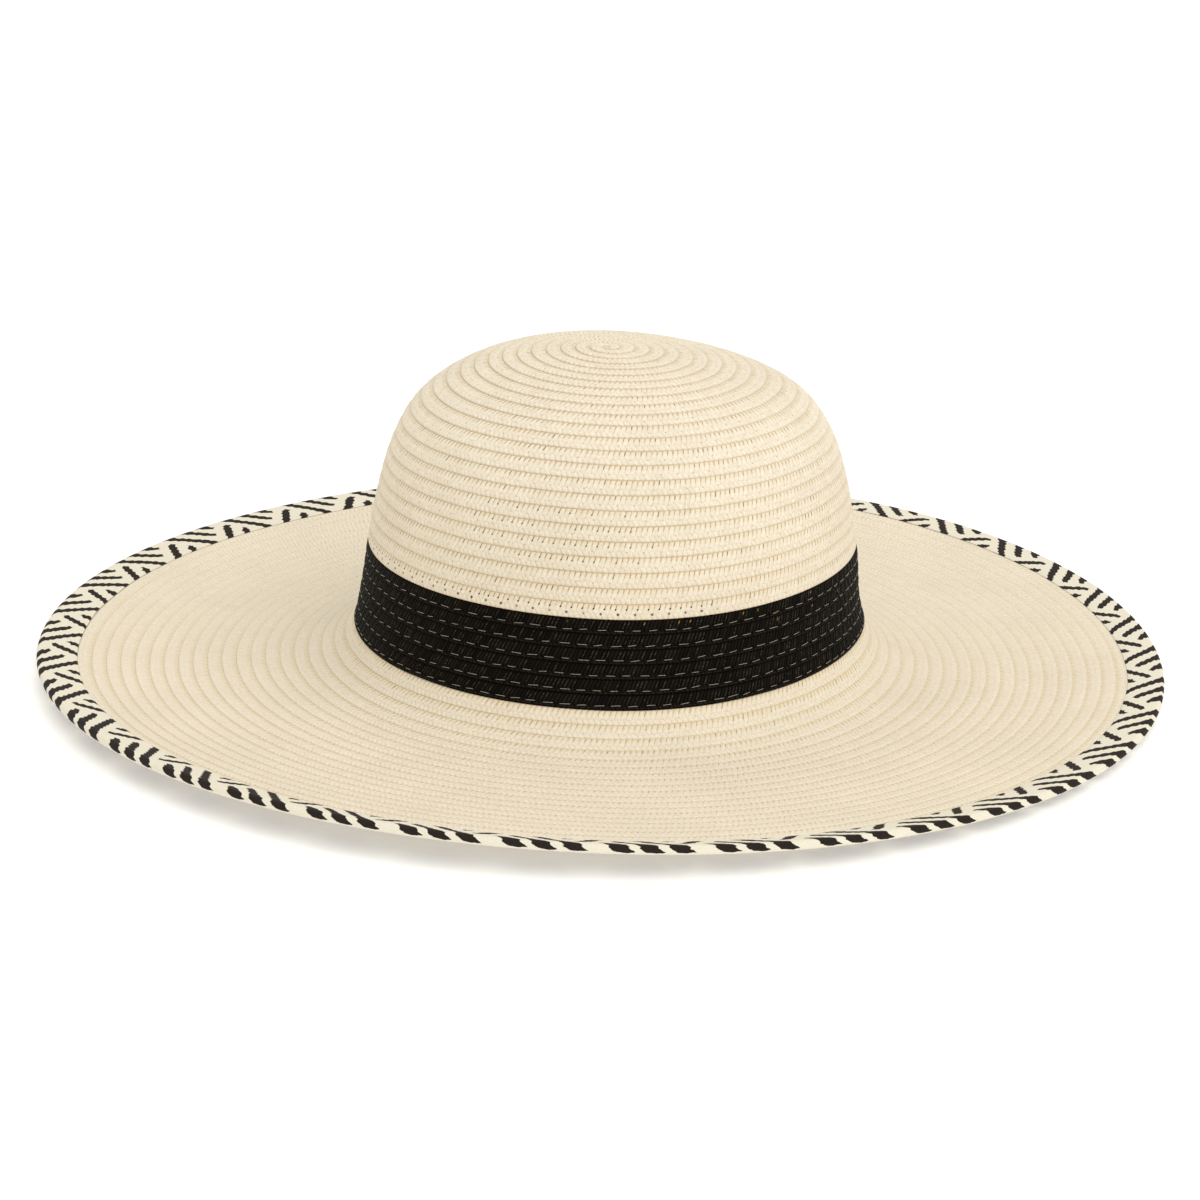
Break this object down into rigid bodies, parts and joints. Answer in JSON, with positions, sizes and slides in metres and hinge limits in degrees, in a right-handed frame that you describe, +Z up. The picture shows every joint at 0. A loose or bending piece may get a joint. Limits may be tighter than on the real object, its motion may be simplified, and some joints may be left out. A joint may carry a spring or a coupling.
{
  "type": "wide brim sun hat",
  "caption": "Wide-brimmed sun hat of sewn cream straw braid, with a round crown, a black braid band in the wall and a dark and cream chevron binding folded over the brim's edge.",
  "frame": {"origin": "bottom centre of the bounding box, on the surface that the hat stands on, under the middle of the hat", "axes": "+Z up through the crown, -Y towards the front of the hat, +X towards the wearer's left"},
  "size_m": [0.3968, 0.4032, 0.1152],
  "materials": {
    "crown_straw": "matte woven paper straw",
    "band_straw": "black dyed paper straw with a soft sheen",
    "brim_straw": "matte woven paper straw",
    "edge_binding": "woven cloth binding with dark bars on cream"
  },
  "bodies": {
    "root": {"crown": "crown_straw", "band": "band_straw", "brim": "brim_straw", "edge_trim": "edge_binding"}
  },
  "joints": []
}
